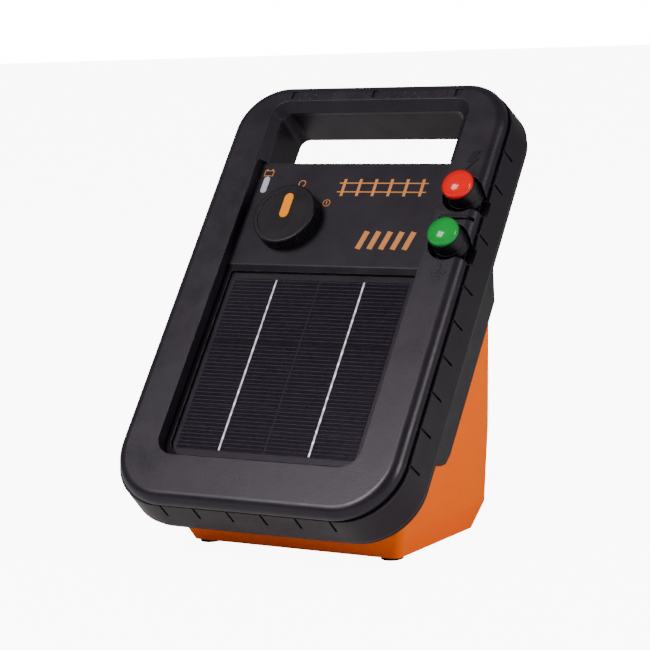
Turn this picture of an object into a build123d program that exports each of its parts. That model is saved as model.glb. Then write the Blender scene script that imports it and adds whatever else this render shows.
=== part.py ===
from build123d import *
import math
import os

os.makedirs("parts", exist_ok=True)

# ---------------------------------------------------------------- driving dimensions (mm, degrees)
LEAN = 40.6              # the face leans back this far from vertical
BODY_MID = 141.14        # foot line of the face to the middle of the depth
HALF_CAP = 91.0          # bezel half width
HALF_SKIRT = 94.9        # skirt half width at its rear edge
CAP_LOW = 53.4           # bezel bottom edge, measured up the slope
CAP_HIGH = 338.5
SKIRT_LOW = 51.4
SKIRT_HIGH = 339.0
R_LOW = 36.0             # corner radii of the slab
R_HIGH = 31.0
CAP_T = 7.0              # bezel thickness
SKIRT_TOP = 8.5          # depth where the skirt starts, leaving a shadow groove
SKIRT_END = 31.0
COVER_END = 33.5
COLLAR_END = 46.0
BASE_START = 47.0
REAR_Y = 175.6           # upright rear face
WALL = 3.0

HALF_WINDOW = 65.5       # window in the bezel
WINDOW_LOW = 82.2
PANEL_LOW = 208.7
PANEL_LIP = 213.0
PANEL_HIGH = 284.6
PANEL_DEPTH = 6.8
HALF_HOLE = 62.0         # hand hole
HOLE_HIGH = 320.5
GRIP_EDGE = 326.4
HALF_GLASS = 61.2
GLASS_LOW = 86.2
GLASS_HIGH = 208.1

KNOB_X = -32.3
KNOB_S = 242.9
KNOB_R = 20.2
KNOB_H = 9.7
TERM_X = 79.0
TERM_S = {"red": 260.0, "green": 228.0}
STUD_R = 3.0

# ---------------------------------------------------------------- helpers
SIN = math.sin(math.radians(LEAN))
COS = math.cos(math.radians(LEAN))
NORMAL = Vector(0, -COS, SIN)
FACE = Plane(origin=(0, -BODY_MID, 0), x_dir=(1, 0, 0), z_dir=NORMAL)
OUTWARD = Axis((0, -BODY_MID, 0), NORMAL)
SIDE = Plane.YZ


def at_depth(depth):
    """Plane parallel to the face, this far behind it."""
    return FACE.offset(-depth)


def yz(s, depth):
    """Side view point from slope distance and depth."""
    return (s * SIN + depth * COS - BODY_MID, s * COS - depth * SIN)


def xyz(x, s, depth):
    """Space point from width, slope distance and depth."""
    y, z = yz(s, depth)
    return (x, y, z)


def block(half, low, high, r_low=0.0, r_high=0.0):
    """Rectangle across the face between two slope distances, with corner radii low and high."""
    rl = max(r_low, 0.01)
    rh = max(r_high, 0.01)
    with BuildLine() as outline:
        Line((-half + rl, low), (half - rl, low))
        RadiusArc((half - rl, low), (half, low + rl), -rl)
        Line((half, low + rl), (half, high - rh))
        RadiusArc((half, high - rh), (half - rh, high), -rh)
        Line((half - rh, high), (-half + rh, high))
        RadiusArc((-half + rh, high), (-half, high - rh), -rh)
        Line((-half, high - rh), (-half, low + rl))
        RadiusArc((-half, low + rl), (-half + rl, low), -rl)
    make_face(outline.edges())


def base_section(height, front, half_front, rear, half_rear, inset):
    """One level outline of the base housing."""
    yf = front + inset - BODY_MID
    yr = rear - inset - BODY_MID
    hf = half_front - inset
    hr = half_rear - inset
    with BuildSketch(Plane.XY.offset(height)) as level:
        Polygon((-hf, yf), (hf, yf), (hr, yr), (-hr, yr), align=None)
        fillet(level.vertices(), 5.0)
    return level.sketch


def base_form(inset, floor=2.0):
    """Tapered body of the base, shrunk by inset."""
    loft(
        [
            base_section(floor, 91.7, 67.8, 169.4, 78.0, inset),
            base_section(17.0, 85.5, 74.0, REAR_Y, 84.0, inset),
            base_section(62.0, 75.0, 90.5, REAR_Y, 87.6, inset),
            base_section(175.0, 50.0, 93.3, REAR_Y, 93.3, inset),
        ],
        ruled=True,
    )


def bosses(points, depth, length, radius):
    """Round posts on the face side of a depth plane."""
    with BuildSketch(at_depth(depth)) as posts:
        with Locations(*points):
            Circle(radius)
    extrude(posts.sketch, amount=length)


def screw_holes(points, depth, length, radius):
    """Round holes running from a depth plane towards the face."""
    with BuildSketch(at_depth(depth)) as holes:
        with Locations(*points):
            Circle(radius)
    extrude(holes.sketch, amount=length, mode=Mode.SUBTRACT)


FEET = [(-60, -41.5), (60, -41.5), (-64, 17), (64, 17)]
CASE_SCREWS = [(-76, 97), (76, 97), (-76, 190), (76, 190), (-76, 306), (76, 306)]
PANEL_POSTS = [(-56, 218), (56, 218), (-50, 262), (56, 278)]

# ---------------------------------------------------------------- front bezel
with BuildPart() as front_bezel:
    with BuildSketch(at_depth(CAP_T)):
        block(HALF_CAP, CAP_LOW, CAP_HIGH, R_LOW, R_HIGH)
    extrude(amount=CAP_T)
    fillet(front_bezel.faces().sort_by(OUTWARD)[-1].outer_wire().edges(), 6.0)
    # locating lip inside the skirt
    with BuildSketch(at_depth(11.0)):
        block(HALF_CAP - 3.4, CAP_LOW + 3.4, CAP_HIGH - 3.4, R_LOW - 3.4, R_HIGH - 3.4)
    extrude(amount=11.0 - CAP_T)
    with BuildSketch(at_depth(11.0)):
        block(HALF_CAP - 5.6, CAP_LOW + 5.6, CAP_HIGH - 5.6, R_LOW - 5.6, R_HIGH - 5.6)
    extrude(amount=11.0 - CAP_T, mode=Mode.SUBTRACT)
    # window for the panels, then the hand hole with its flared edge
    with BuildSketch(at_depth(CAP_T)):
        block(HALF_WINDOW, WINDOW_LOW, PANEL_HIGH, 12.0, 0.0)
    extrude(amount=CAP_T, mode=Mode.SUBTRACT)
    with BuildSketch(at_depth(CAP_T)):
        block(HALF_HOLE, PANEL_HIGH - 2.0, HOLE_HIGH, 0.0, 6.0)
    extrude(amount=CAP_T, mode=Mode.SUBTRACT)
    with BuildSketch(at_depth(5.0)) as inner_mouth:
        block(HALF_HOLE, PANEL_HIGH - 2.0, HOLE_HIGH, 0.0, 6.0)
    with BuildSketch(at_depth(0.0)) as outer_mouth:
        block(HALF_WINDOW + 1.5, PANEL_HIGH - 2.0, GRIP_EDGE, 0.0, 10.0)
    loft([inner_mouth.sketch, outer_mouth.sketch], mode=Mode.SUBTRACT)
    # terminal pockets with a channel out to the side, and a slot for the divider
    for s in TERM_S.values():
        with BuildSketch(at_depth(CAP_T)):
            with Locations((TERM_X, s - 1.0)):
                Circle(12.2)
            with Locations((TERM_X + 10, s - 5.5)):
                Rectangle(20, 11)
        extrude(amount=CAP_T, mode=Mode.SUBTRACT)
    with BuildSketch(at_depth(11.0)):
        with Locations((TERM_X + 2, 243)):
            Rectangle(26, 66)
    extrude(amount=11.0 - CAP_T, mode=Mode.SUBTRACT)
    with BuildSketch(at_depth(CAP_T)):
        with Locations((TERM_X + 0.5, 243.0)):
            Rectangle(21.0, 2.2)
    extrude(amount=CAP_T, mode=Mode.SUBTRACT)
    # rows of small grip dots and three slots on the top bar
    for row, start in ((328.6, -50.6), (331.2, -54.0)):
        with BuildSketch(at_depth(0.0)):
            with Locations(*[(start + 6.8 * k, row) for k in range(16)]):
                Circle(1.0)
        extrude(amount=0.45)
    with BuildSketch(at_depth(1.4)):
        with Locations((-54.5, 330.6), (1.5, 330.6), (56.5, 330.6)):
            Rectangle(5.0, 5.4)
    extrude(amount=2.2, mode=Mode.SUBTRACT)
    bosses(CASE_SCREWS, SKIRT_END, SKIRT_END - CAP_T, 4.0)
    screw_holes(CASE_SCREWS, SKIRT_END, 18.0, 1.5)
front_bezel.part.label = "front_bezel"
export_step(front_bezel.part, "parts/front_bezel.step")

# ---------------------------------------------------------------- side skirt with its ribs and the hand hole sleeve
with BuildPart() as side_skirt:
    with BuildSketch(at_depth(SKIRT_END)):
        block(HALF_SKIRT, SKIRT_LOW, SKIRT_HIGH, R_LOW, R_HIGH)
    extrude(amount=SKIRT_END - SKIRT_TOP, taper=5.5)
    fillet(side_skirt.faces().sort_by(OUTWARD)[0].outer_wire().edges(), 2.4)
    with BuildSketch(at_depth(SKIRT_END)):
        block(HALF_CAP - 3.2, CAP_LOW + 3.2, CAP_HIGH - 3.2, R_LOW - 3.2, R_HIGH - 3.2)
    extrude(amount=SKIRT_END - SKIRT_TOP, mode=Mode.SUBTRACT)
    # slim notches down both flanks and along the foot
    flank = [90 + 22.6 * k for k in range(6)] + [237.0, 271.0, 294.0]
    for s in flank:
        for side in (-1, 1):
            with BuildSketch(at_depth(19.0)):
                with Locations((side * (HALF_SKIRT - 0.9), s)):
                    Rectangle(4.4, 1.6)
            extrude(amount=19.0, mode=Mode.SUBTRACT)
    with BuildSketch(at_depth(19.0)):
        with Locations(*[(-54.5 + 21.8 * k, SKIRT_LOW + 0.9) for k in range(6)]):
            Rectangle(1.6, 4.4)
    extrude(amount=19.0, mode=Mode.SUBTRACT)
    # wire channels beside the terminals
    for s in TERM_S.values():
        with BuildSketch(at_depth(10.6)):
            with Locations((HALF_SKIRT - 4, s - 5.5)):
                Rectangle(16, 10)
        extrude(amount=10.0, mode=Mode.SUBTRACT)
    # sleeve of the hand hole
    with BuildSketch(at_depth(SKIRT_END)):
        block(HALF_HOLE + WALL, PANEL_HIGH - WALL, HOLE_HIGH + WALL, 0.0, 8.0)
    extrude(amount=SKIRT_END - 9.8)
    with BuildSketch(at_depth(9.8)):
        block(HALF_HOLE + WALL, PANEL_HIGH + 0.1, HOLE_HIGH + WALL, 0.0, 8.0)
    extrude(amount=2.7)
    with BuildSketch(at_depth(SKIRT_END)):
        with Locations((-40, 330), (40, 330)):
            Rectangle(3, 14)
        with Locations((-77, 290), (77, 290)):
            Rectangle(25, 3)
    extrude(amount=12.0)
    with BuildSketch(at_depth(SKIRT_END)):
        block(HALF_HOLE, PANEL_HIGH, HOLE_HIGH, 0.0, 6.0)
    extrude(amount=SKIRT_END, mode=Mode.SUBTRACT)
side_skirt.part.label = "side_skirt"
export_step(side_skirt.part, "parts/side_skirt.step")

# ---------------------------------------------------------------- rear cover with the collar that carries the base
REAR = REAR_Y - BODY_MID
COLLAR_S = (104.0, 117.0)
REAR_SCREWS = [(-78, 126), (78, 126)]


def rear_point(depth):
    """Side view point where a depth plane meets the upright rear face."""
    s = (REAR_Y - depth * COS) / SIN
    return yz(s, depth)


with BuildPart() as rear_cover:
    with BuildSketch(at_depth(COVER_END)):
        block(HALF_SKIRT - 1.5, SKIRT_LOW + 1.5, SKIRT_HIGH - 1.5, R_LOW - 1.5, R_HIGH - 1.5)
    extrude(amount=COVER_END - SKIRT_END)
    with BuildSketch(SIDE):
        Polygon(
            yz(COLLAR_S[0], COVER_END - 1),
            yz(COLLAR_S[0], COVER_END),
            yz(COLLAR_S[0] + 2.0, COLLAR_END - 7.0),
            yz(COLLAR_S[0] + 6.0, COLLAR_END - 2.0),
            yz(COLLAR_S[1], COLLAR_END),
            rear_point(COLLAR_END),
            rear_point(COVER_END - 1),
            align=None,
        )
    extrude(amount=HALF_SKIRT - 1.6, both=True)
    with BuildSketch(SIDE):
        Polygon(
            yz(COLLAR_S[0] + 9, COVER_END),
            yz(COLLAR_S[0] + 9, COLLAR_END + 5),
            (rear_point(COLLAR_END)[0] - WALL, rear_point(COLLAR_END)[1] - 20),
            (REAR - WALL, ((REAR_Y - WALL) * COS - COVER_END) / SIN),
            align=None,
        )
    extrude(amount=HALF_SKIRT - 4.6, both=True, mode=Mode.SUBTRACT)
    with BuildSketch(at_depth(COVER_END)):
        block(70.0, 115.0, 205.0, 6.0, 6.0)
    extrude(amount=COVER_END, mode=Mode.SUBTRACT)
    with BuildSketch(at_depth(COVER_END)):
        block(HALF_HOLE, PANEL_HIGH, HOLE_HIGH, 0.0, 6.0)
    extrude(amount=COVER_END, mode=Mode.SUBTRACT)
    screw_holes(CASE_SCREWS, COVER_END, 5.0, 1.8)
    # posts for the two rear screws, webbed up to the collar
    with BuildSketch(Plane.XZ.offset(-(REAR - WALL))):
        with Locations(*REAR_SCREWS):
            Circle(5.0)
        with Locations(*[(x, z + 9) for x, z in REAR_SCREWS]):
            Rectangle(3.0, 18.0)
    extrude(amount=12.0)
    with BuildSketch(Plane.XZ.offset(-(REAR + 1))):
        with Locations(*REAR_SCREWS):
            Circle(1.5)
    extrude(amount=14.0, mode=Mode.SUBTRACT)
rear_cover.part.label = "rear_cover"
export_step(rear_cover.part, "parts/rear_cover.step")


# ---------------------------------------------------------------- base housing and the seal under the collar
def above_base(depth_low, depth_high):
    """Everything on the slab side of the base seam, as a side view outline."""
    Polygon(
        yz(-60, depth_low),
        yz(COLLAR_S[0] - 1, depth_low),
        yz(COLLAR_S[0] + 1, depth_high - 7.0),
        yz(COLLAR_S[0] + 5, depth_high - 2.0),
        yz(COLLAR_S[1] - 1, depth_high),
        yz(330, depth_high),
        yz(330, -200),
        yz(-60, -200),
        align=None,
    )


with BuildPart() as base_housing:
    base_form(0.0)
    with BuildPart(mode=Mode.PRIVATE) as hollow:
        base_form(WALL, floor=5.0)
    add(hollow.part, mode=Mode.SUBTRACT)
    # blocks behind the hanging slots
    with BuildSketch(Plane.XZ.offset(-(REAR - 0.5))):
        with Locations((-36, 92), (36, 92)):
            Rectangle(18, 26)
    extrude(amount=9.0)
    with BuildSketch(SIDE):
        above_base(COVER_END + 1.0, BASE_START)
    extrude(amount=150, both=True, mode=Mode.SUBTRACT)
    # two hanging slots: a round entry and a narrow neck above it
    with BuildSketch(Plane.XZ.offset(-(REAR + 0.5))):
        with Locations((-36, 87), (36, 87)):
            Circle(5.0)
        with Locations((-36, 93), (36, 93)):
            Rectangle(4.8, 14)
    extrude(amount=6.5, mode=Mode.SUBTRACT)
    with BuildSketch(Plane.XZ.offset(-(REAR + 1))):
        with Locations(*REAR_SCREWS):
            Circle(1.8)
    extrude(amount=6.0, mode=Mode.SUBTRACT)
    # wells for the feet
    with BuildSketch(Plane.XY.offset(1.0)):
        with Locations(*FEET):
            Circle(6.6)
    extrude(amount=2.2, mode=Mode.SUBTRACT)
base_housing.part.label = "base_housing"
export_step(base_housing.part, "parts/base_housing.step")

with BuildPart() as case_seal:
    base_form(0.8)
    with BuildPart(mode=Mode.PRIVATE) as seal_core:
        base_form(2.6, floor=-4.0)
    add(seal_core.part, mode=Mode.SUBTRACT)
    with BuildSketch(SIDE):
        above_base(COVER_END, COLLAR_END)
    extrude(amount=150, both=True, mode=Mode.SUBTRACT)
    with BuildSketch(SIDE):
        above_base(COVER_END + 1.0, BASE_START)
    extrude(amount=150, both=True, mode=Mode.INTERSECT)
case_seal.part.label = "case_seal"
export_step(case_seal.part, "parts/case_seal.step")

with BuildPart() as rubber_feet:
    with BuildSketch(Plane.XY):
        with Locations(*FEET):
            Circle(6.5)
    extrude(amount=3.2)
rubber_feet.part.label = "rubber_feet"
export_step(rubber_feet.part, "parts/rubber_feet.step")

# ---------------------------------------------------------------- control panel
with BuildPart() as control_panel:
    with BuildSketch(at_depth(9.6)):
        block(HALF_WINDOW + 1.5, PANEL_LOW, PANEL_HIGH)
    extrude(amount=2.5)
    with BuildSketch(at_depth(7.1)):
        block(HALF_WINDOW - 0.2, PANEL_LOW, PANEL_HIGH)
    extrude(amount=7.1 - PANEL_DEPTH)
    # sloping lower lip
    with BuildSketch(SIDE):
        Polygon(
            yz(PANEL_LIP, PANEL_DEPTH),
            yz(PANEL_LOW - 1, 8.4),
            yz(PANEL_LOW - 1, 3.0),
            yz(PANEL_LIP, 3.0),
            align=None,
        )
    extrude(amount=HALF_WINDOW + 5, both=True, mode=Mode.SUBTRACT)
    bosses(PANEL_POSTS, 20.0, 10.4, 3.0)
    with BuildSketch(at_depth(9.6)):
        with Locations((KNOB_X, KNOB_S)):
            Circle(STUD_R + 0.4)
    extrude(amount=9.6, mode=Mode.SUBTRACT)
    with BuildSketch(at_depth(9.6)):
        with Locations((-58.6, 269.0)):
            SlotCenterToCenter(7.6, 4.3, rotation=90)
    extrude(amount=9.6, mode=Mode.SUBTRACT)
control_panel.part.label = "control_panel"
export_step(control_panel.part, "parts/control_panel.step")

with BuildPart() as indicator_lens:
    with BuildSketch(at_depth(13.0)):
        with Locations((-58.6, 269.0)):
            SlotCenterToCenter(7.6, 4.1, rotation=90)
    extrude(amount=13.0 - PANEL_DEPTH + 0.5)
    fillet(indicator_lens.faces().sort_by(OUTWARD)[-1].edges(), 0.4)
indicator_lens.part.label = "indicator_lens"
export_step(indicator_lens.part, "parts/indicator_lens.step")

with BuildPart() as indicator_light:
    with BuildSketch(at_depth(20.0)):
        with Locations((-58.6, 269.0)):
            Rectangle(3.0, 6.0)
    extrude(amount=6.6)
indicator_light.part.label = "indicator_light"
export_step(indicator_light.part, "parts/indicator_light.step")

# ---------------------------------------------------------------- mode knob, pointer, shaft and switch
KNOB_BASE = PANEL_DEPTH - 0.3
KNOB_TOP = PANEL_DEPTH - KNOB_H
with BuildPart() as mode_knob:
    with BuildSketch(at_depth(KNOB_BASE)):
        with Locations((KNOB_X, KNOB_S)):
            Circle(KNOB_R)
    extrude(amount=KNOB_BASE - KNOB_TOP)
    fillet(mode_knob.faces().sort_by(OUTWARD)[-1].edges(), 1.0)
    # fine flutes round the edge
    with BuildSketch(at_depth(KNOB_BASE)):
        with Locations((KNOB_X, KNOB_S)):
            with PolarLocations(KNOB_R + 0.25, 60):
                Circle(0.62)
    extrude(amount=KNOB_BASE - KNOB_TOP - 1.2, mode=Mode.SUBTRACT)
    # shallow dish in the top, seat of the pointer, bore for the shaft
    with BuildSketch(at_depth(KNOB_TOP + 0.5)):
        with Locations((KNOB_X, KNOB_S)):
            Circle(KNOB_R - 3.2)
    extrude(amount=1.0, mode=Mode.SUBTRACT)
    with BuildSketch(at_depth(KNOB_TOP + 1.8)):
        with Locations((KNOB_X, KNOB_S + 5.6)):
            SlotCenterToCenter(11.0, 6.0, rotation=90)
    extrude(amount=2.0, mode=Mode.SUBTRACT)
    with BuildSketch(at_depth(KNOB_BASE)):
        with Locations((KNOB_X, KNOB_S)):
            Circle(STUD_R)
    extrude(amount=5.6, mode=Mode.SUBTRACT)
mode_knob.part.label = "mode_knob"
export_step(mode_knob.part, "parts/mode_knob.step")

with BuildPart() as knob_pointer:
    with BuildSketch(at_depth(KNOB_TOP + 1.8)):
        with Locations((KNOB_X, KNOB_S + 5.6)):
            SlotCenterToCenter(11.0, 5.9, rotation=90)
    extrude(amount=1.7)
    fillet(knob_pointer.faces().sort_by(OUTWARD)[-1].edges(), 0.4)
knob_pointer.part.label = "knob_pointer"
export_step(knob_pointer.part, "parts/knob_pointer.step")

with BuildPart() as switch_shaft:
    with BuildSketch(at_depth(18.0)):
        with Locations((KNOB_X, KNOB_S)):
            Circle(STUD_R - 0.02)
    extrude(amount=18.0 - KNOB_BASE + 5.4)
switch_shaft.part.label = "switch_shaft"
export_step(switch_shaft.part, "parts/switch_shaft.step")

with BuildPart() as rotary_switch:
    with BuildSketch(at_depth(20.0)):
        with Locations((KNOB_X, KNOB_S)):
            RectangleRounded(17.0, 17.0, 2.0)
    extrude(amount=8.0)
    with BuildSketch(at_depth(12.0)):
        with Locations((KNOB_X, KNOB_S)):
            Circle(4.6)
    extrude(amount=2.2)
    with BuildSketch(at_depth(19.0)):
        with Locations((KNOB_X, KNOB_S)):
            Circle(STUD_R + 0.04)
    extrude(amount=12.0, mode=Mode.SUBTRACT)
rotary_switch.part.label = "rotary_switch"
export_step(rotary_switch.part, "parts/rotary_switch.step")

with BuildPart() as control_board:
    with BuildSketch(at_depth(21.6)):
        block(62.0, 212.0, 280.5)
    extrude(amount=1.6)
control_board.part.label = "control_board"
export_step(control_board.part, "parts/control_board.step")

# ---------------------------------------------------------------- solar window, from frame to glass
with BuildPart() as solar_frame:
    with BuildSketch(at_depth(13.2)):
        block(HALF_WINDOW + 5.0, WINDOW_LOW - 5.0, PANEL_LOW - 0.1, 15.0, 0.0)
    extrude(amount=13.2 - 7.1)
    with BuildSketch(at_depth(11.7)):
        block(HALF_GLASS + 0.2, GLASS_LOW - 0.2, GLASS_HIGH + 0.2, 9.0, 2.0)
    extrude(amount=11.7, mode=Mode.SUBTRACT)
    with BuildSketch(at_depth(13.2)):
        block(54.0, GLASS_LOW + 7, GLASS_HIGH - 7, 4.0, 4.0)
    extrude(amount=4.0, mode=Mode.SUBTRACT)
solar_frame.part.label = "solar_frame"
export_step(solar_frame.part, "parts/solar_frame.step")

with BuildPart() as solar_glass:
    with BuildSketch(at_depth(8.6)):
        block(HALF_GLASS, GLASS_LOW, GLASS_HIGH, 8.8, 1.8)
    extrude(amount=1.0)
solar_glass.part.label = "solar_glass"
export_step(solar_glass.part, "parts/solar_glass.step")

CELL_ROWS = 8
CELL_PITCH = 14.2
CELL_LOW = 90.4
with BuildPart() as solar_cells:
    with BuildSketch(at_depth(9.0)):
        for row in range(CELL_ROWS):
            for side in (-1, 1):
                with Locations((side * 29.2, CELL_LOW + (row + 0.5) * CELL_PITCH)):
                    Rectangle(57.4, CELL_PITCH - 0.4)
    extrude(amount=0.25)
solar_cells.part.label = "solar_cells"
export_step(solar_cells.part, "parts/solar_cells.step")

with BuildPart() as cell_ribbons:
    with BuildSketch(at_depth(8.74)):
        for side in (-1, 1):
            with Locations((side * 29.2, CELL_LOW + 0.5 * CELL_ROWS * CELL_PITCH)):
                Rectangle(1.7, CELL_ROWS * CELL_PITCH - 1.0)
    extrude(amount=0.12)
cell_ribbons.part.label = "cell_ribbons"
export_step(cell_ribbons.part, "parts/cell_ribbons.step")

with BuildPart() as solar_backing:
    with BuildSketch(at_depth(10.6)):
        block(HALF_GLASS, GLASS_LOW, GLASS_HIGH, 8.8, 1.8)
    extrude(amount=1.6)
solar_backing.part.label = "solar_backing"
export_step(solar_backing.part, "parts/solar_backing.step")

with BuildPart() as solar_seal:
    with BuildSketch(at_depth(11.7)):
        block(HALF_GLASS, GLASS_LOW, GLASS_HIGH, 8.8, 1.8)
    extrude(amount=1.1)
    with BuildSketch(at_depth(11.7)):
        block(56.0, GLASS_LOW + 5, GLASS_HIGH - 5, 5.0, 3.0)
    extrude(amount=1.1, mode=Mode.SUBTRACT)
solar_seal.part.label = "solar_seal"
export_step(solar_seal.part, "parts/solar_seal.step")

# ---------------------------------------------------------------- fence and earth terminals
TRAY_TOP = 8.6
TRAY_END = 11.6
with BuildPart() as terminal_tray:
    with BuildSketch(at_depth(TRAY_END)):
        with Locations((TERM_X - 1.5, 243.5)):
            Rectangle(20.0, 61.0)
    extrude(amount=TRAY_END - TRAY_TOP)
    # divider fin between the two terminals
    with BuildSketch(at_depth(TRAY_TOP)):
        with Locations((TERM_X - 0.4, 243.0)):
            Rectangle(17.0, 1.9)
    extrude(amount=TRAY_TOP + 1.6)
    with BuildSketch(at_depth(TRAY_END)):
        with Locations(*[(TERM_X, s) for s in TERM_S.values()]):
            Circle(STUD_R + 0.05)
    extrude(amount=TRAY_END, mode=Mode.SUBTRACT)
terminal_tray.part.label = "terminal_tray"
export_step(terminal_tray.part, "parts/terminal_tray.step")


def ring(x, s, depth_low, depth_high, radius, hole=0.0):
    """Round washer or post between two depths, low being the deeper one."""
    with BuildSketch(at_depth(depth_low)) as disc:
        with Locations((x, s)):
            Circle(radius)
            if hole:
                Circle(hole, mode=Mode.SUBTRACT)
    extrude(disc.sketch, amount=depth_low - depth_high)


FLANGE_TOP = 7.1
WASHER_TOP = 5.9
BODY_TOP = -7.0
for colour, s in TERM_S.items():
    with BuildPart() as stud:
        ring(TERM_X, s, 22.0, -4.0, STUD_R)
        ring(TERM_X, s, TRAY_TOP, FLANGE_TOP, 6.0)
    stud.part.label = colour + "_stud"
    export_step(stud.part, "parts/" + colour + "_stud.step")

    with BuildPart() as nut:
        with BuildSketch(at_depth(15.8)):
            with Locations((TERM_X, s)):
                RegularPolygon(5.6, 6)
                Circle(STUD_R + 0.03, mode=Mode.SUBTRACT)
        extrude(amount=15.8 - TRAY_END)
    nut.part.label = colour + "_stud_nut"
    export_step(nut.part, "parts/" + colour + "_stud_nut.step")

    with BuildPart() as washer:
        ring(TERM_X, s, FLANGE_TOP, WASHER_TOP, 8.6, STUD_R + 0.3)
    washer.part.label = colour + "_washer"
    export_step(washer.part, "parts/" + colour + "_washer.step")

    with BuildPart() as collar:
        with BuildSketch(at_depth(WASHER_TOP)):
            with Locations((TERM_X, s)):
                Circle(10.6)
        extrude(amount=4.0, taper=10.0)
        ring(TERM_X, s, WASHER_TOP - 3.9, BODY_TOP, 9.6)
        with BuildSketch(at_depth(WASHER_TOP)):
            with Locations((TERM_X, s)):
                Circle(5.0)
        extrude(amount=WASHER_TOP - BODY_TOP, mode=Mode.SUBTRACT)
    collar.part.label = colour + "_knob"
    export_step(collar.part, "parts/" + colour + "_knob.step")

    with BuildPart() as insert:
        ring(TERM_X, s, WASHER_TOP, -5.0, 5.0, STUD_R + 0.05)
    insert.part.label = colour + "_knob_insert"
    export_step(insert.part, "parts/" + colour + "_knob_insert.step")

    with BuildPart() as cap:
        ring(TERM_X, s, BODY_TOP, BODY_TOP - 1.2, 9.5)
        with BuildSketch(at_depth(BODY_TOP - 1.2)):
            with Locations((TERM_X, s)):
                Circle(9.5)
        extrude(amount=3.4)
        fillet(cap.faces().sort_by(OUTWARD)[-1].edges(), 3.2)
    cap.part.label = colour + "_cap"
    export_step(cap.part, "parts/" + colour + "_cap.step")

# ---------------------------------------------------------------- inside the base
with BuildPart() as battery_pad:
    with Locations((0, 134 - BODY_MID, 5.0)):
        Box(88, 58, 2.0, align=(Align.CENTER, Align.CENTER, Align.MIN))
battery_pad.part.label = "battery_pad"
export_step(battery_pad.part, "parts/battery_pad.step")

with BuildPart() as battery:
    with Locations((0, 134 - BODY_MID, 7.0)):
        Box(90, 60, 42, align=(Align.CENTER, Align.CENTER, Align.MIN))
    fillet(battery.edges().filter_by(Axis.Z), 4.0)
battery.part.label = "battery"
export_step(battery.part, "parts/battery.step")

with BuildPart() as battery_strap:
    with BuildSketch(Plane.XZ.offset(-(141 - BODY_MID))):
        with Locations((0, 27.6)):
            Rectangle(94.0, 45.2)
        with Locations((0, 27.0)):
            Rectangle(90.4, 44.4, mode=Mode.SUBTRACT)
        with Locations((-52, 5.8), (52, 5.8)):
            Rectangle(12.0, 1.6)
    extrude(amount=14.0)
battery_strap.part.label = "battery_strap"
export_step(battery_strap.part, "parts/battery_strap.step")

BOARD_Y = 163.0 - BODY_MID
with BuildPart() as power_board:
    with BuildSketch(Plane.XZ.offset(-(BOARD_Y + 1.6))):
        with Locations((0, 88)):
            Rectangle(116, 58)
    extrude(amount=1.6)
    with BuildSketch(Plane.XZ.offset(-(REAR - WALL))):
        with Locations((-54, 64), (54, 64), (-54, 112), (54, 112)):
            Circle(2.5)
    extrude(amount=REAR - WALL - BOARD_Y - 1.6)
power_board.part.label = "power_board"
export_step(power_board.part, "parts/power_board.step")

with BuildPart() as pulse_transformer:
    with BuildSketch(Plane.XZ.offset(-BOARD_Y)):
        with Locations((-31, 84)):
            Rectangle(40, 36)
    extrude(amount=9.0)
    with BuildSketch(Plane.XZ.offset(-(BOARD_Y - 9.0))):
        with Locations((-31, 84)):
            Circle(15)
    extrude(amount=12.0)
    with BuildSketch(Plane.XZ.offset(-(BOARD_Y - 21.0))):
        with Locations((-31, 84)):
            Rectangle(40, 36)
    extrude(amount=6.0)
pulse_transformer.part.label = "pulse_transformer"
export_step(pulse_transformer.part, "parts/pulse_transformer.step")

with BuildPart() as storage_capacitor:
    with BuildSketch(Plane.YZ.offset(12)):
        with Locations((BOARD_Y - 17.1, 84)):
            Circle(17.0)
    extrude(amount=42)
    fillet(storage_capacitor.edges().filter_by(GeomType.CIRCLE), 1.5)
storage_capacitor.part.label = "storage_capacitor"
export_step(storage_capacitor.part, "parts/storage_capacitor.step")


# ---------------------------------------------------------------- leads
def lead(points, radius):
    """Flexible wire through a run of points."""
    with BuildLine() as run:
        Spline(*points)
    with BuildSketch(Plane(origin=run.line @ 0, z_dir=run.line % 0)) as wire:
        Circle(radius)
    sweep(wire.sketch, path=run.line)


with BuildPart() as red_output_lead:
    lead(
        [
            xyz(79, 260, 23.5),
            xyz(74, 245, 26.6),
            xyz(70, 225, 27.5),
            xyz(64, 207, 29.0),
            xyz(56, 195, 38.0),
            xyz(50, 190, 49.5),
        ],
        1.2,
    )
red_output_lead.part.label = "red_output_lead"
export_step(red_output_lead.part, "parts/red_output_lead.step")

with BuildPart() as green_output_lead:
    lead(
        [
            xyz(79, 228, 23.5),
            xyz(61, 216, 24.2),
            xyz(50, 203, 28.0),
            xyz(41, 193, 40.0),
            xyz(36, 187, 52.0),
        ],
        1.2,
    )
green_output_lead.part.label = "green_output_lead"
export_step(green_output_lead.part, "parts/green_output_lead.step")

with BuildPart() as solar_lead:
    lead([xyz(10, 150, 12.0), xyz(10, 165, 18.0), xyz(6, 195, 24.0), xyz(4, 222, 22.9)], 1.0)
solar_lead.part.label = "solar_lead"
export_step(solar_lead.part, "parts/solar_lead.step")

with BuildPart() as battery_lead:
    lead(
        [
            (1, 144 - BODY_MID, 51.6),
            (1, 149 - BODY_MID, 56.0),
            (1, 156 - BODY_MID, 66.0),
            (1, 161.4 - BODY_MID, 76.0),
        ],
        1.2,
    )
battery_lead.part.label = "battery_lead"
export_step(battery_lead.part, "parts/battery_lead.step")

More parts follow.
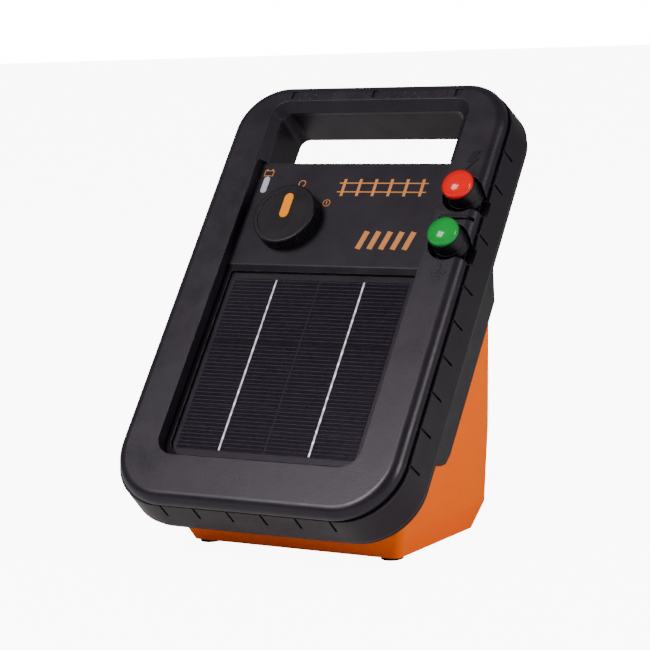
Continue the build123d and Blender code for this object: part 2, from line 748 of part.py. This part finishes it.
# ---------------------------------------------------------------- screws
with BuildPart() as case_screws:
    with BuildSketch(at_depth(COVER_END + 2.0)):
        with Locations(*CASE_SCREWS):
            Circle(3.2)
            RegularPolygon(1.3, 6, mode=Mode.SUBTRACT)
    extrude(amount=2.0)
    with BuildSketch(at_depth(COVER_END)):
        with Locations(*CASE_SCREWS):
            Circle(1.45)
    extrude(amount=16.0)
case_screws.part.label = "case_screws"
export_step(case_screws.part, "parts/case_screws.step")

with BuildPart() as rear_screws:
    with BuildSketch(Plane.XZ.offset(-(REAR + 2.0))):
        with Locations(*REAR_SCREWS):
            Circle(3.2)
    extrude(amount=2.0)
    with BuildSketch(Plane.XZ.offset(-REAR)):
        with Locations(*REAR_SCREWS):
            Circle(1.45)
    extrude(amount=12.0)
rear_screws.part.label = "rear_screws"
export_step(rear_screws.part, "parts/rear_screws.step")
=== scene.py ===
import math

import bpy
from mathutils import Matrix, Vector


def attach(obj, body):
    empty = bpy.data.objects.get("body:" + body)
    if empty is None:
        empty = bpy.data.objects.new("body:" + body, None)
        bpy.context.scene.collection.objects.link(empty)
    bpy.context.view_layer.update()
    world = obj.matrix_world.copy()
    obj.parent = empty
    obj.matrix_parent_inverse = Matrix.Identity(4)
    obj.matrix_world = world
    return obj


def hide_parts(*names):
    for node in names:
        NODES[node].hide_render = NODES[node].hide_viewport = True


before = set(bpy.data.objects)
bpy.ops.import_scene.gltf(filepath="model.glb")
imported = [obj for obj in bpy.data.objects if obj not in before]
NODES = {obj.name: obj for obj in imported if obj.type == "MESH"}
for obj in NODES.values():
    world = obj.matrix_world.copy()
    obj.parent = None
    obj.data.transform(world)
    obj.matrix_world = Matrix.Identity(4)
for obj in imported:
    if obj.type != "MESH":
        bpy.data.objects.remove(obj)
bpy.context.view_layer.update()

# ------------------------------------------------------------ the leaning face as a ruler
LEAN = math.radians(40.6)
SIN = math.sin(LEAN)
COS = math.cos(LEAN)
FOOT_Y = -0.14114        # foot of the face, metres
NORMAL = Vector((0.0, -COS, SIN))
UP_SLOPE = Vector((0.0, SIN, COS))
PANEL_DEPTH = 6.8        # control panel behind the face, millimetres
TERMINAL_X = 79.0        # fence and earth terminals across the face, millimetres


def on_face(x, s, depth):
    """Point in the frame from millimetres across, up the slope and behind the face."""
    foot = Vector((0.0, FOOT_Y, 0.0))
    return foot + Vector((x / 1000, 0, 0)) + UP_SLOPE * (s / 1000) - NORMAL * (depth / 1000)


# ------------------------------------------------------------ materials
class Graph:
    """A material's node tree with short calls for the nodes used here."""

    def __init__(self, name):
        self.material = bpy.data.materials.new(name)
        self.material.use_nodes = True
        self.tree = self.material.node_tree
        self.tree.nodes.clear()
        self.out = self.tree.nodes.new("ShaderNodeOutputMaterial")
        self.shader = self.tree.nodes.new("ShaderNodeBsdfPrincipled")
        self.link(self.shader.outputs[0], self.out.inputs[0])
        self.coords = self.tree.nodes.new("ShaderNodeTexCoord").outputs["Object"]

    def link(self, a, b):
        self.tree.links.new(a, b)

    def noise(self, scale, detail=4.0, roughness=0.6, stretch=None):
        node = self.tree.nodes.new("ShaderNodeTexNoise")
        node.inputs["Scale"].default_value = scale
        node.inputs["Detail"].default_value = detail
        node.inputs["Roughness"].default_value = roughness
        source = self.coords
        if stretch:
            mapping = self.tree.nodes.new("ShaderNodeMapping")
            mapping.inputs["Scale"].default_value = stretch
            self.link(source, mapping.inputs["Vector"])
            source = mapping.outputs[0]
        self.link(source, node.inputs["Vector"])
        return node.outputs[0]

    def ramp(self, value, low, high, a, b):
        """Maps value from low..high onto a..b, clamped."""
        node = self.tree.nodes.new("ShaderNodeMapRange")
        node.inputs["From Min"].default_value = low
        node.inputs["From Max"].default_value = high
        node.inputs["To Min"].default_value = a
        node.inputs["To Max"].default_value = b
        self.link(value, node.inputs["Value"])
        return node.outputs[0]

    def mix(self, factor, a, b):
        node = self.tree.nodes.new("ShaderNodeMix")
        node.data_type = "RGBA"
        if isinstance(factor, float):
            node.inputs[0].default_value = factor
        else:
            self.link(factor, node.inputs[0])
        for socket, value in ((node.inputs[6], a), (node.inputs[7], b)):
            if isinstance(value, tuple):
                socket.default_value = (*value, 1.0)
            else:
                self.link(value, socket)
        return node.outputs[2]

    def math(self, operation, a, b=0.0, clamp=False):
        node = self.tree.nodes.new("ShaderNodeMath")
        node.operation = operation
        node.use_clamp = clamp
        for socket, value in ((node.inputs[0], a), (node.inputs[1], b)):
            if isinstance(value, (int, float)):
                socket.default_value = value
            else:
                self.link(value, socket)
        return node.outputs[0]

    def distance_along(self, direction):
        """Object position measured along a direction, in metres."""
        node = self.tree.nodes.new("ShaderNodeVectorMath")
        node.operation = "DOT_PRODUCT"
        self.link(self.coords, node.inputs[0])
        node.inputs[1].default_value = direction
        return node.outputs["Value"]

    def edge_mask(self, radius):
        """Mask that is near 1 on edges and 0 on flats, with the rounded normal it comes from."""
        bevel = self.tree.nodes.new("ShaderNodeBevel")
        bevel.samples = 4
        bevel.inputs["Radius"].default_value = radius
        geometry = self.tree.nodes.new("ShaderNodeNewGeometry")
        dot = self.tree.nodes.new("ShaderNodeVectorMath")
        dot.operation = "DOT_PRODUCT"
        self.link(bevel.outputs[0], dot.inputs[0])
        self.link(geometry.outputs["Normal"], dot.inputs[1])
        return self.ramp(dot.outputs["Value"], 0.99, 0.80, 0.0, 1.0), bevel.outputs[0]

    def bump(self, height, distance, strength, normal=None):
        node = self.tree.nodes.new("ShaderNodeBump")
        node.inputs["Distance"].default_value = distance
        node.inputs["Strength"].default_value = strength
        self.link(height, node.inputs["Height"])
        if normal is not None:
            self.link(normal, node.inputs["Normal"])
        self.link(node.outputs[0], self.shader.inputs["Normal"])

    def set(self, name, value):
        socket = self.shader.inputs[name]
        if isinstance(value, tuple):
            socket.default_value = (*value, 1.0)
        elif isinstance(value, (int, float)):
            socket.default_value = value
        else:
            self.link(value, socket)


EDGE_ROUND = 0.0005               # rounding of moulded edges, metres


def plastic(name, colour, lighter, rough=0.5, grain=0.00004, edge_wear_and_highlight=None, scale=2200, shine=0.32,
            tint=(1.0, 1.0, 1.0)):
    """Moulded plastic: fine grain, faint cloudy variation and edges painted a little lighter, partly as wear
    and partly as a painted highlight.
    """
    g = Graph(name)
    clouds = g.noise(28, 5)
    base = g.mix(g.ramp(clouds, 0.35, 0.7, 0.0, 1.0), colour, lighter)
    mask, normal = g.edge_mask(EDGE_ROUND)
    # edges painted lighter: partly wear, partly a painted highlight
    wear_and_highlight_mask = g.math("MULTIPLY", mask, g.ramp(g.noise(140, 3), 0.4, 0.7, 0.1, 0.8))
    g.set("Base Color", g.mix(wear_and_highlight_mask, base, edge_wear_and_highlight or lighter))
    g.set("Roughness", g.ramp(g.noise(60, 6), 0.3, 0.7, rough - 0.06, rough + 0.07))
    g.set("Specular IOR Level", shine)
    g.set("Specular Tint", tint)
    g.bump(g.noise(scale, 2), grain, 0.55, normal)
    return g.material


def metal(name, colour, rough):
    """Plated or machined metal with fine directional marks."""
    g = Graph(name)
    marks = g.noise(900, 3, 0.6, stretch=(1, 1, 12))
    darker = tuple(c * 0.8 for c in colour)
    g.set("Base Color", g.mix(g.ramp(marks, 0.3, 0.7, 0, 1), colour, darker))
    g.set("Metallic", 1.0)
    g.set("Roughness", g.ramp(marks, 0.3, 0.7, rough - 0.08, rough + 0.1))
    _, normal = g.edge_mask(0.0003)
    g.bump(marks, 0.00002, 0.4, normal)
    return g.material


PLUM = (1.0, 0.91, 1.0)           # faint tint of the charcoal plastic's reflections
MOULD_GRAIN = 1300                # grain cells per metre on the outer mouldings
# the edge colours below paint the edges lighter, partly as wear and partly as a painted highlight
CHARCOAL = plastic("charcoal", (0.0085, 0.0062, 0.0100), (0.0125, 0.0094, 0.0145), 0.34,
                   grain=0.00012, edge_wear_and_highlight=(0.10, 0.086, 0.105), scale=MOULD_GRAIN, shine=0.34, tint=PLUM)
SKIRT = plastic("charcoal_skirt", (0.0062, 0.0044, 0.0074), (0.0095, 0.0070, 0.0110), 0.38,
                grain=0.00010, edge_wear_and_highlight=(0.13, 0.112, 0.134), scale=MOULD_GRAIN, shine=0.24, tint=PLUM)
BLACK = plastic("black", (0.0034, 0.0028, 0.0038), (0.0065, 0.0054, 0.0070), 0.36,
                edge_wear_and_highlight=(0.045, 0.038, 0.046), shine=0.26, tint=(1.0, 0.92, 1.0))
ORANGE = plastic("orange", (1.0, 0.140, 0.0), (1.0, 0.160, 0.0), 0.6, grain=0.00008,
                 edge_wear_and_highlight=(1.0, 0.25, 0.0), scale=MOULD_GRAIN, shine=0.03)
RUBBER = plastic("rubber", (0.012, 0.012, 0.012), (0.022, 0.022, 0.022), 0.8, grain=0.0001)
POINTER = plastic("pointer_orange", (1.0, 0.27, 0.0), (1.0, 0.29, 0.0), 0.45,
                  edge_wear_and_highlight=(1.0, 0.45, 0.02), shine=0.03)
LENS = plastic("lens_grey", (0.42, 0.40, 0.48), (0.52, 0.50, 0.58), 0.3, grain=0.00001)
PRINT = plastic("orange_print", (0.60, 0.20, 0.045), (0.68, 0.25, 0.06), 0.6, grain=0.00001)
BOARD = plastic("board_green", (0.01, 0.11, 0.04), (0.02, 0.16, 0.06), 0.35)
WRAP = plastic("battery_blue", (0.02, 0.06, 0.25), (0.03, 0.09, 0.32), 0.3)
CORE = plastic("transformer", (0.05, 0.035, 0.03), (0.10, 0.07, 0.05), 0.5)
STEEL = metal("steel", (0.60, 0.60, 0.62), 0.32)
BRASS = metal("brass", (0.78, 0.56, 0.22), 0.30)
ALUMINIUM = metal("aluminium", (0.70, 0.71, 0.72), 0.35)

LIP_SHADE_FADE_START = 0.2122           # the painted shade on the sloping lip fades out over this stretch, metres up the face
LIP_SHADE_FADE_END = 0.2130


def panel_material():
    """Panel plastic with painted shade on the sloping lower lip, under a thin edge painted lighter as wear
    and as a painted highlight.
    """
    # lip colour: painted shade darkening the sloping lower lip
    lip_painted_shade = (0.0035, 0.0026, 0.0042)
    g = Graph("panel_black")
    clouds = g.ramp(g.noise(28, 5), 0.35, 0.7, 0.0, 1.0)
    base = g.mix(clouds, (0.0090, 0.0066, 0.0106), (0.0120, 0.0088, 0.0140))
    slope = g.distance_along(UP_SLOPE)
    foot = FOOT_Y * SIN
    flat = g.ramp(slope, foot + LIP_SHADE_FADE_START, foot + LIP_SHADE_FADE_END, 0.0, 1.0)
    mask, normal = g.edge_mask(0.0006)
    # edges painted lighter: partly wear, partly a painted highlight along the lip's top edge
    wear_and_highlight_mask = g.math("MULTIPLY", mask, g.ramp(g.noise(140, 3), 0.4, 0.7, 0.3, 0.9))
    g.set("Base Color", g.mix(wear_and_highlight_mask, g.mix(flat, lip_painted_shade, base), (0.16, 0.135, 0.165)))
    g.set("Specular IOR Level", g.ramp(flat, 0.0, 1.0, 0.06, 0.24))
    g.set("Specular Tint", PLUM)
    g.set("Roughness", g.ramp(g.noise(60, 6), 0.3, 0.7, 0.34, 0.47))
    g.bump(g.noise(MOULD_GRAIN, 2), 0.0001, 0.55, normal)
    return g.material


def cap_material(name, colour, rim):
    """Glossy moulded cap with painted shade: the colour deepens where the surface turns away from the camera.
    """
    g = Graph(name)
    # painted shade: mixes towards the rim colour where the surface turns away from the camera
    facing = g.tree.nodes.new("ShaderNodeLayerWeight")
    facing.inputs["Blend"].default_value = 0.35
    turned = g.ramp(facing.outputs["Facing"], 0.25, 0.8, 0.0, 1.0)
    clouds = g.ramp(g.noise(90, 3), 0.35, 0.7, 0.0, 0.12)
    g.set("Base Color", g.mix(g.math("ADD", turned, clouds, True), colour, rim))
    g.set("Roughness", g.ramp(g.noise(70, 5), 0.3, 0.7, 0.10, 0.17))
    g.set("Specular IOR Level", 0.30)
    g.bump(g.noise(2200, 2), 0.00001, 0.5)
    return g.material


FINGER_PITCH = 0.00244            # silver lines across the cells
FINGER_HALF = 0.085               # half a line's width as a share of the pitch


def cell_material():
    """Silicon cell: near-black blue with fine silver finger lines running across."""
    g = Graph("silicon_cell")
    along = g.distance_along(UP_SLOPE)
    turns = g.math("FRACT", g.math("DIVIDE", along, FINGER_PITCH))
    from_middle = g.math("ABSOLUTE", g.math("SUBTRACT", turns, 0.5))
    line = g.math("LESS_THAN", from_middle, FINGER_HALF)
    patches = g.ramp(g.noise(90, 4), 0.35, 0.65, 0, 1)
    crystal = g.mix(patches, (0.0008, 0.0005, 0.0022), (0.0018, 0.0012, 0.0042))
    faint = g.math("MULTIPLY", line, g.ramp(g.noise(400, 2), 0.3, 0.7, 0.35, 0.75))
    g.set("Base Color", g.mix(faint, crystal, (0.070, 0.055, 0.078)))
    g.set("Specular IOR Level", 0.10)
    g.set("Specular Tint", PLUM)
    g.set("Roughness", g.ramp(g.noise(300, 3), 0.3, 0.7, 0.26, 0.40))
    g.bump(line, 0.00003, 0.5)
    return g.material


RIBBON_X = 0.0292                 # each ribbon's centre line from the middle, metres
SOLDER_PITCH = 0.0071


def ribbon_material():
    """Tinned ribbon: bright, a little wavy, soldered in short stretches."""
    g = Graph("tinned_ribbon")
    along = g.distance_along(UP_SLOPE)
    pads = g.math("SINE", g.math("MULTIPLY", along, 2 * math.pi / SOLDER_PITCH))
    bright = g.ramp(g.math("ADD", pads, g.noise(500, 4)), -0.4, 1.4, 0.0, 1.0)
    across = g.math("ABSOLUTE", g.distance_along((1.0, 0.0, 0.0)))
    off_line = g.math("ABSOLUTE", g.math("SUBTRACT", across, RIBBON_X))
    wavy = g.math("ADD", off_line, g.ramp(g.noise(420, 3), 0.3, 0.7, -0.00018, 0.00018))
    solder = g.ramp(wavy, 0.00042, 0.00062, 1.0, 0.0)
    tinned = g.mix(bright, (0.70, 0.69, 0.68), (1.0, 1.0, 1.0))
    g.set("Base Color", g.mix(solder, (0.012, 0.011, 0.014), tinned))
    g.set("Metallic", 0.35)
    g.set("Roughness", g.ramp(bright, 0, 1, 0.5, 0.3))
    g.bump(g.math("ADD", pads, g.noise(700, 3)), 0.00012, 0.7)
    return g.material


def glass_material():
    """Thin clear sheet: mostly see-through, mirror-like at grazing angles, faint dust."""
    g = Graph("clear_sheet")
    tree = g.tree
    clear = tree.nodes.new("ShaderNodeBsdfTransparent")
    clear.inputs[0].default_value = (0.96, 0.94, 0.97, 1)
    fresnel = tree.nodes.new("ShaderNodeFresnel")
    fresnel.inputs["IOR"].default_value = 1.45
    dust = g.ramp(g.noise(45, 8, 0.7), 0.45, 0.8, 0.0, 0.002)
    amount = g.math("ADD", g.math("MULTIPLY", fresnel.outputs[0], 0.12), dust)
    blend = tree.nodes.new("ShaderNodeMixShader")
    g.set("Base Color", (0.82, 0.76, 0.84))
    g.set("Roughness", g.ramp(g.noise(80, 4), 0.3, 0.7, 0.06, 0.14))
    g.set("Metallic", 1.0)
    g.link(amount, blend.inputs[0])
    g.link(clear.outputs[0], blend.inputs[1])
    g.link(g.shader.outputs[0], blend.inputs[2])
    g.link(blend.outputs[0], g.out.inputs[0])
    return g.material


PANEL = panel_material()
# second colour of each cap: painted shade where its surface turns away from the camera
RED = cap_material("cap_red", (0.82, 0.0, 0.0), (0.22, 0.0, 0.0))
GREEN = cap_material("cap_green", (0.0, 0.30, 0.04), (0.0, 0.07, 0.010))
LOOK = {
    "front_bezel": CHARCOAL,
    "side_skirt": SKIRT,
    "rear_cover": BLACK,
    "control_panel": PANEL,
    "solar_frame": PANEL,
    "terminal_tray": BLACK,
    "base_housing": ORANGE,
    "case_seal": RUBBER,
    "rubber_feet": RUBBER,
    "solar_seal": RUBBER,
    "battery_pad": RUBBER,
    "indicator_lens": LENS,
    "indicator_light": LENS,
    "mode_knob": BLACK,
    "knob_pointer": POINTER,
    "switch_shaft": STEEL,
    "rotary_switch": BLACK,
    "control_board": BOARD,
    "power_board": BOARD,
    "solar_glass": glass_material(),
    "solar_cells": cell_material(),
    "cell_ribbons": ribbon_material(),
    "solar_backing": BLACK,
    "battery": WRAP,
    "battery_strap": STEEL,
    "pulse_transformer": CORE,
    "storage_capacitor": ALUMINIUM,
    "red_output_lead": RED,
    "green_output_lead": GREEN,
    "solar_lead": BLACK,
    "battery_lead": BLACK,
    "case_screws": STEEL,
    "rear_screws": STEEL,
}
for colour, cap in (("red", RED), ("green", GREEN)):
    LOOK[colour + "_cap"] = cap
    LOOK[colour + "_knob"] = BLACK
    LOOK[colour + "_knob_insert"] = BRASS
    LOOK[colour + "_washer"] = STEEL
    LOOK[colour + "_stud"] = STEEL
    LOOK[colour + "_stud_nut"] = STEEL
for name, material in LOOK.items():
    node = NODES[name]
    node.data.materials.clear()
    node.data.materials.append(material)


# ------------------------------------------------------------ pieces made here
def new_piece(name, points, faces, material, body):
    """Object of the given points and faces that moves with a body."""
    mesh = bpy.data.meshes.new(name)
    mesh.from_pydata([tuple(p) for p in points], [], faces)
    mesh.update()
    mesh.materials.append(material)
    piece = bpy.data.objects.new(name, mesh)
    bpy.context.scene.collection.objects.link(piece)
    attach(piece, body)
    return piece


def raised_mark(name, loops, depth, thick, material, holes=()):
    """Thin plates on the case cut to loops of (across, up the slope); a hole goes with its loop."""
    points = []
    faces = []
    for index, loop in enumerate(loops):
        hole = holes[index] if index < len(holes) else None
        rings = [loop, hole] if hole else [loop]
        starts = []
        for ring in rings:
            starts.append(len(points))
            for level in (depth, depth - thick):
                points += [on_face(x, s, level) for x, s in ring]
        for ring, start in zip(rings, starts):
            n = len(ring)
            inward = ring is not loop
            for k in range(n):
                nxt = (k + 1) % n
                quad = (start + k, start + nxt, start + n + nxt, start + n + k)
                faces.append(quad[::-1] if inward else quad)
        n = len(loop)
        if hole:
            outer, inner = starts
            for k in range(n):
                nxt = (k + 1) % n
                faces.append((outer + n + k, outer + n + nxt, inner + n + nxt, inner + n + k))
                faces.append((outer + k, inner + k, inner + nxt, outer + nxt))
        else:
            faces.append(tuple(starts[0] + n + k for k in range(n)))
            faces.append(tuple(starts[0] + k for k in reversed(range(n))))
    new_piece(name, points, faces, material, "case")


def circle(centre, radius, count=40):
    x, s = centre
    step = 2 * math.pi / count
    return [(x + radius * math.cos(step * k), s + radius * math.sin(step * k)) for k in range(count)]


CORNERS = [(-1, -1), (1, -1), (1, 1), (-1, 1)]


def bar(x, s, width, height, turn=0.0):
    """Rectangle about a centre, turned by this many degrees."""
    c = math.cos(math.radians(turn))
    t = math.sin(math.radians(turn))
    sized = [(a * width / 2, b * height / 2) for a, b in CORNERS]
    return [(x + a * c - b * t, s + a * t + b * c) for a, b in sized]


# ------------------------------------------------------------ marks printed on the control panel
PRINT_THICK = 0.06
RING_RADIUS = 2.5
OFF_AT = (-33.0, 270.0)
ON_AT = (-12.0, 256.4)
BATTERY_X = -58.6
BATTERY_S = 277.4
BATTERY_POST = 1.8                # each battery post from the middle of the battery mark
FENCE_X = 22.0
FENCE_S = 267.5
POST_PITCH = 10.4
POST_COUNT = 6
WIRE_OFFSET = 3.1
STRIPE_X = 35.2
STRIPE_S = 231.0
STRIPE_PITCH = 7.6
STRIPE_COUNT = 5


def printed(name, loops, holes=(), thick=PRINT_THICK):
    raised_mark(name, loops, PANEL_DEPTH, thick, PRINT, holes)


def row_of(count, pitch, middle):
    """Centres of evenly spaced items about a middle."""
    return [middle + pitch * (k - (count - 1) / 2) for k in range(count)]


printed("off_mark", [circle(OFF_AT, RING_RADIUS)], [circle(OFF_AT, RING_RADIUS - 0.6)])
printed("on_mark_ring", [circle(ON_AT, RING_RADIUS)], [circle(ON_AT, RING_RADIUS - 0.5)])
printed("on_mark_bar", [bar(*ON_AT, 0.6, 2.6)])
printed("battery_mark", [bar(BATTERY_X, BATTERY_S, 6.4, 4.2)], [bar(BATTERY_X, BATTERY_S, 5.4, 3.2)])
battery_posts = [bar(BATTERY_X + side * BATTERY_POST, BATTERY_S + 2.5, 1.2, 0.8) for side in (-1, 1)]
printed("battery_mark_posts", battery_posts)

# a plain fence with two wires, and a short row of slanted bars below it
posts = [bar(x, FENCE_S, 1.9, 12.0) for x in row_of(POST_COUNT, POST_PITCH, FENCE_X)]
wires = [bar(FENCE_X, FENCE_S + side * WIRE_OFFSET, 59.0, 0.8) for side in (-1, 1)]
printed("fence_motif_posts", posts)
printed("fence_motif_wires", wires, thick=PRINT_THICK * 0.6)
stripes = [bar(x, STRIPE_S, 3.6, 12.5, -14) for x in row_of(STRIPE_COUNT, STRIPE_PITCH, STRIPE_X)]
printed("stripe_motif", stripes)

# ------------------------------------------------------------ signs moulded beside the terminals
SPARK_X = 79.2
SPARK_S = 282.0
SPARK = [(-0.6, 6.4), (3.4, 6.4), (1.2, 1.6), (3.8, 1.6), (-2.6, -6.6), (-0.6, -0.8), (-3.4, -0.8)]
spark = [(SPARK_X + x, SPARK_S + s) for x, s in reversed(SPARK)]
raised_mark("spark_mark", [spark], 0.05, 0.45, BLACK)

EARTH_S = 206.6                   # the longest of the three earth bars
earth = [bar(TERMINAL_X, EARTH_S + 3.2, 0.9, 5.0)]
for step, width in enumerate((9.0, 5.8, 2.8)):
    earth.append(bar(TERMINAL_X, EARTH_S - 2.0 * step, width, 0.9))
raised_mark("earth_mark", earth, 0.05, 0.4, CHARCOAL)

# ------------------------------------------------------------ domed terminal caps
CAP_RADIUS = 9.5
CAP_SEAT = -7.0                   # depth of the cap's underside; negative is in front of the face
CAP_RIM = -8.4                    # where the crown starts
CROWN_HEIGHT = 4.4
CROWN_ROWS = 14
CAP_SIDES = 64


def dome(name, s, body, stands_for, material):
    """Cap with a short straight rim and a full rounded crown, seated at the collar's top."""
    profile = [(CAP_RADIUS - 0.4, CAP_SEAT), (CAP_RADIUS, CAP_SEAT - 0.3), (CAP_RADIUS, CAP_RIM)]
    for row in range(1, CROWN_ROWS):
        rise = math.pi / 2 * row / CROWN_ROWS
        profile.append((CAP_RADIUS * math.cos(rise), CAP_RIM - CROWN_HEIGHT * math.sin(rise)))
    points = [on_face(TERMINAL_X, s, CAP_SEAT)]
    for radius, depth in profile:
        for k in range(CAP_SIDES):
            angle = 2 * math.pi * k / CAP_SIDES
            across = TERMINAL_X + radius * math.cos(angle)
            points.append(on_face(across, s + radius * math.sin(angle), depth))
    points.append(on_face(TERMINAL_X, s, CAP_RIM - CROWN_HEIGHT))
    top = len(points) - 1
    last = 1 + (len(profile) - 1) * CAP_SIDES
    faces = []
    for k in range(CAP_SIDES):
        nxt = (k + 1) % CAP_SIDES
        faces.append((0, 1 + nxt, 1 + k))
        for row in range(len(profile) - 1):
            a = 1 + row * CAP_SIDES
            b = a + CAP_SIDES
            faces.append((a + k, a + nxt, b + nxt, b + k))
        faces.append((last + k, last + nxt, top))
    piece = new_piece(name, points, faces, material, body)
    piece.data.polygons.foreach_set("use_smooth", [True] * len(faces))
    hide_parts(stands_for)


dome("red_crown", 260.0, "red_knob", "red_cap", RED)
dome("green_crown", 228.0, "green_knob", "green_cap", GREEN)

# ------------------------------------------------------------ floor and surroundings
FLOOR_HALF = 6.0
FLOOR_GLOW = 9.0                  # brightness of the floor to the camera only
SKY_LIGHT = 0.24                  # surroundings as the object sees them
SKY_SEEN = 16.0                   # surroundings as the camera sees them

floor_mesh = bpy.data.meshes.new("floor")
floor_points = [(x * FLOOR_HALF, y * FLOOR_HALF, 0) for x, y in CORNERS]
floor_mesh.from_pydata(floor_points, [], [(0, 1, 2, 3)])
floor = bpy.data.objects.new("floor", floor_mesh)
bpy.context.scene.collection.objects.link(floor)
paper = Graph("paper")
mottle = paper.ramp(paper.noise(3, 3), 0.3, 0.7, 0, 1)
paper.set("Base Color", paper.mix(mottle, (0.93, 0.93, 0.93), (0.95, 0.95, 0.95)))
paper.set("Roughness", 0.9)
paper.set("Emission Color", (1.0, 1.0, 1.0))
glow = paper.tree.nodes.new("ShaderNodeLightPath").outputs["Is Camera Ray"]
paper.set("Emission Strength", paper.math("MULTIPLY", glow, FLOOR_GLOW))
floor.data.materials.append(paper.material)

world = bpy.data.worlds.new("studio")
world.use_nodes = True
sky = world.node_tree.nodes["Background"]
sky.inputs[0].default_value = (1.0, 1.0, 1.0, 1.0)
seen = world.node_tree.nodes.new("ShaderNodeLightPath").outputs["Is Camera Ray"]
strength = world.node_tree.nodes.new("ShaderNodeMapRange")
strength.inputs["To Min"].default_value = SKY_LIGHT
strength.inputs["To Max"].default_value = SKY_SEEN
world.node_tree.links.new(seen, strength.inputs["Value"])
world.node_tree.links.new(strength.outputs[0], sky.inputs[1])
bpy.context.scene.world = world


# ------------------------------------------------------------ lights
def softbox(name, place, target, size, power):
    lamp = bpy.data.lights.new(name, "AREA")
    lamp.shape = "RECTANGLE"
    lamp.size = size[0]
    lamp.size_y = size[1]
    lamp.energy = power
    holder = bpy.data.objects.new(name, lamp)
    bpy.context.scene.collection.objects.link(holder)
    holder.location = place
    aim = Vector(target) - Vector(place)
    holder.rotation_euler = aim.to_track_quat("-Z", "Y").to_euler()


softbox("key", (-0.6, -1.3, 1.5), (0, 0, 0.12), (0.7, 0.7), 34)
softbox("side", (1.6, -0.1, 0.7), (0, 0.05, 0.1), (0.6, 0.8), 16)

# ------------------------------------------------------------ camera
AZIMUTH = math.radians(30.06)
ELEVATION = math.radians(9.49)
ROLL = math.radians(-3.04)
CAMERA_PLACE = Vector((0.61605, -1.06369, 0.32836))
FOCAL_LENGTH = 118.95
SENSOR_WIDTH = 36.0

level_right = Vector((math.cos(AZIMUTH), math.sin(AZIMUTH), 0.0))
level_ahead = Vector((-math.sin(AZIMUTH), math.cos(AZIMUTH), 0.0))
forward = level_ahead * math.cos(ELEVATION) - Vector((0.0, 0.0, math.sin(ELEVATION)))
level_up = level_right.cross(forward)
right = level_right * math.cos(ROLL) + level_up * math.sin(ROLL)
up = level_up * math.cos(ROLL) - level_right * math.sin(ROLL)
lens = bpy.data.cameras.new("camera")
lens.lens = FOCAL_LENGTH
lens.sensor_width = SENSOR_WIDTH
camera = bpy.data.objects.new("camera", lens)
bpy.context.scene.collection.objects.link(camera)
turn = Matrix((right, up, -forward)).transposed().to_4x4()
camera.matrix_world = Matrix.Translation(CAMERA_PLACE) @ turn
bpy.context.scene.camera = camera
